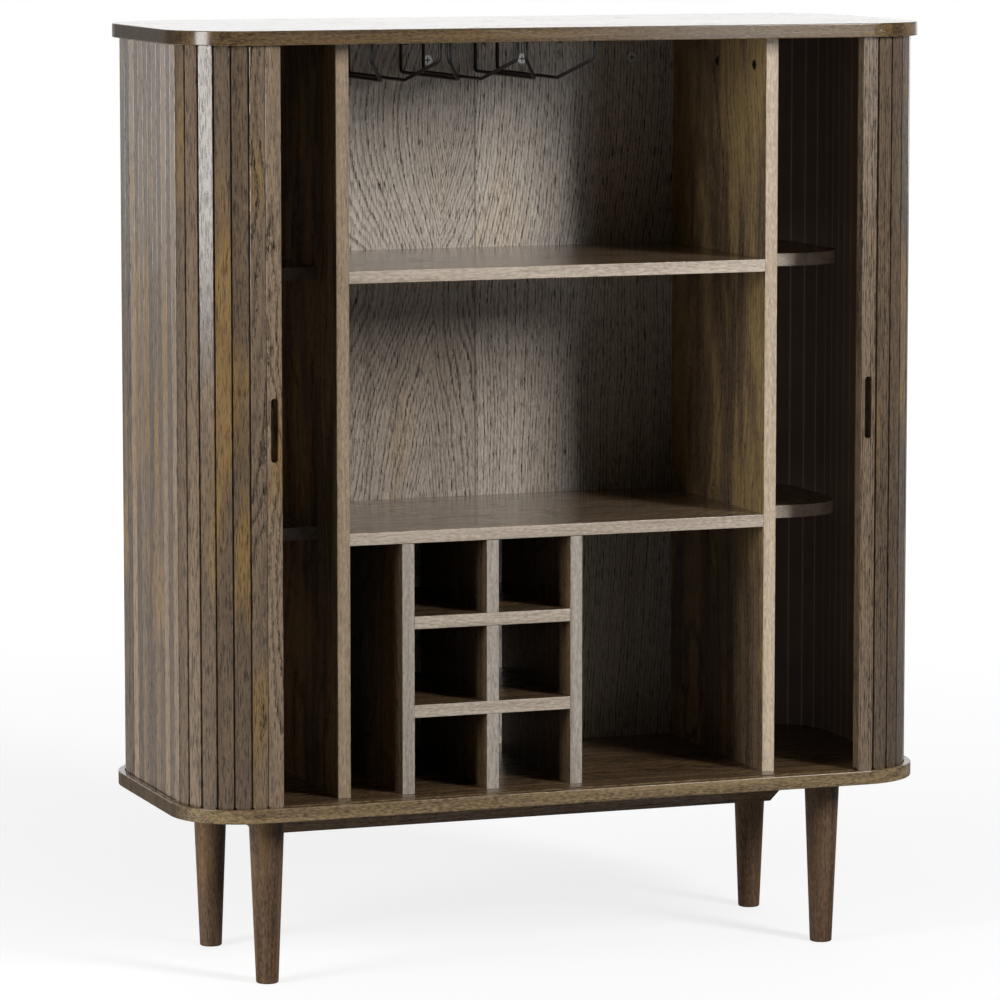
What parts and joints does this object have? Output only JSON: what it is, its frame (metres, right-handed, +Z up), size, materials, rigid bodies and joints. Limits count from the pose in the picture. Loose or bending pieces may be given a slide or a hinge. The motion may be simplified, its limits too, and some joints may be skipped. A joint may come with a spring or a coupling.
{
  "type": "drinks cabinet",
  "caption": "Tall drinks cabinet on tapered legs with rounded corners, wrap-around tambour doors, shelves, a bottle rack and wire glass hangers.",
  "frame": {"origin": "on the floor under the middle of the cabinet", "axes": "+X to the right seen from the front, +Y to the back, +Z up"},
  "size_m": [1.18, 0.48, 1.41],
  "materials": {
    "oak": "smoked oak veneer, satin lacquer",
    "door_oak": "smoked oak slats, satin lacquer",
    "black_wire": "black powder coat",
    "beech": "raw fluted dowel",
    "zinc": "zinc plated",
    "brass": "plain",
    "canvas": "stained cotton canvas"
  },
  "bodies": {
    "carcass": {"top_panel": "oak", "base_panel": "oak", "left_divider": "oak", "right_divider": "oak", "back_panel": "oak", "upper_shelf": "oak", "middle_shelf": "oak", "left_upper_side_shelf": "oak", "left_middle_side_shelf": "oak", "right_upper_side_shelf": "oak", "right_middle_side_shelf": "oak", "rack_left_upright": "oak", "rack_middle_upright": "oak", "rack_right_upright": "oak", "rack_lower_board": "oak", "rack_upper_board": "oak", "centre_rail": "oak", "leg_front_left": "oak", "leg_back_left": "oak", "leg_front_right": "oak", "leg_back_right": "oak", "glass_hanger_left": "black_wire", "glass_hanger_middle": "black_wire", "glass_hanger_right": "black_wire", "shelf_dowels": "beech", "rack_dowels": "beech", "cam_discs": "zinc", "cam_bolts": "zinc", "base_screws": "zinc", "rail_screws": "zinc", "hanger_screws": "zinc", "leg_bolts": "zinc", "leg_inserts": "brass"},
    "left_lead": {"left_stile": "door_oak", "left_front_slat": "door_oak"},
    "right_lead": {"right_stile": "door_oak"},
    "left_front_corner": {"left_front_corner_slats": "door_oak", "left_front_corner_canvas": "canvas"},
    "left_side": {"left_side_slats": "door_oak", "left_side_canvas": "canvas"},
    "left_back_corner": {"left_back_corner_slats": "door_oak", "left_back_corner_canvas": "canvas"},
    "left_back": {"left_back_slats": "door_oak", "left_back_canvas": "canvas"},
    "right_front_corner": {"right_front_corner_slats": "door_oak", "right_front_corner_canvas": "canvas"},
    "right_side": {"right_side_slats": "door_oak", "right_side_canvas": "canvas"},
    "right_back_corner": {"right_back_corner_slats": "door_oak", "right_back_corner_canvas": "canvas"},
    "right_back": {"right_back_slats": "door_oak", "right_back_canvas": "canvas"}
  },
  "joints": [
    {"name": "left_door_slide", "type": "slide", "parent": "carcass", "child": "left_lead", "axis": [1, 0, 0], "range_m": [0, 0.44447]},
    {"name": "left_front_corner_run", "type": "hinge", "parent": "carcass", "child": "left_front_corner", "pos_m": [-0.48072, -0.13072, 0.8335], "axis": [0, 0, 1], "range_deg": [0, 10.54]},
    {"name": "left_side_run", "type": "slide", "parent": "carcass", "child": "left_side", "axis": [0, -1, 0], "range_m": [0, 0.01668]},
    {"name": "left_back_corner_run", "type": "hinge", "parent": "carcass", "child": "left_back_corner", "pos_m": [-0.48072, 0.13072, 0.8335], "axis": [0, 0, 1], "range_deg": [0, 10.54]},
    {"name": "left_back_run", "type": "slide", "parent": "carcass", "child": "left_back", "axis": [-1, 0, 0], "range_m": [0, 0.01668]},
    {"name": "right_door_slide", "type": "slide", "parent": "carcass", "child": "right_lead", "axis": [-1, 0, 0], "range_m": [0, 0.46823]},
    {"name": "right_front_corner_run", "type": "hinge", "parent": "carcass", "child": "right_front_corner", "pos_m": [0.48072, -0.13072, 0.8335], "axis": [0, 0, -1], "range_deg": [0, 10.54]},
    {"name": "right_side_run", "type": "slide", "parent": "carcass", "child": "right_side", "axis": [0, -1, 0], "range_m": [0, 0.01668]},
    {"name": "right_back_corner_run", "type": "hinge", "parent": "carcass", "child": "right_back_corner", "pos_m": [0.48072, 0.13072, 0.8335], "axis": [0, 0, -1], "range_deg": [0, 10.54]},
    {"name": "right_back_run", "type": "slide", "parent": "carcass", "child": "right_back", "axis": [1, 0, 0], "range_m": [0, 0.01668]}
  ],
  "couplings": [
    {"joint": "left_front_corner_run", "follows": "left_door_slide", "rad_per_m": 0.413},
    {"joint": "left_side_run", "follows": "left_door_slide", "ratio": 0.037493},
    {"joint": "left_back_corner_run", "follows": "left_door_slide", "rad_per_m": 0.413},
    {"joint": "left_back_run", "follows": "left_door_slide", "ratio": 0.037493},
    {"joint": "right_front_corner_run", "follows": "right_door_slide", "rad_per_m": 0.39204},
    {"joint": "right_side_run", "follows": "right_door_slide", "ratio": 0.03559},
    {"joint": "right_back_corner_run", "follows": "right_door_slide", "rad_per_m": 0.39204},
    {"joint": "right_back_run", "follows": "right_door_slide", "ratio": 0.03559}
  ]
}
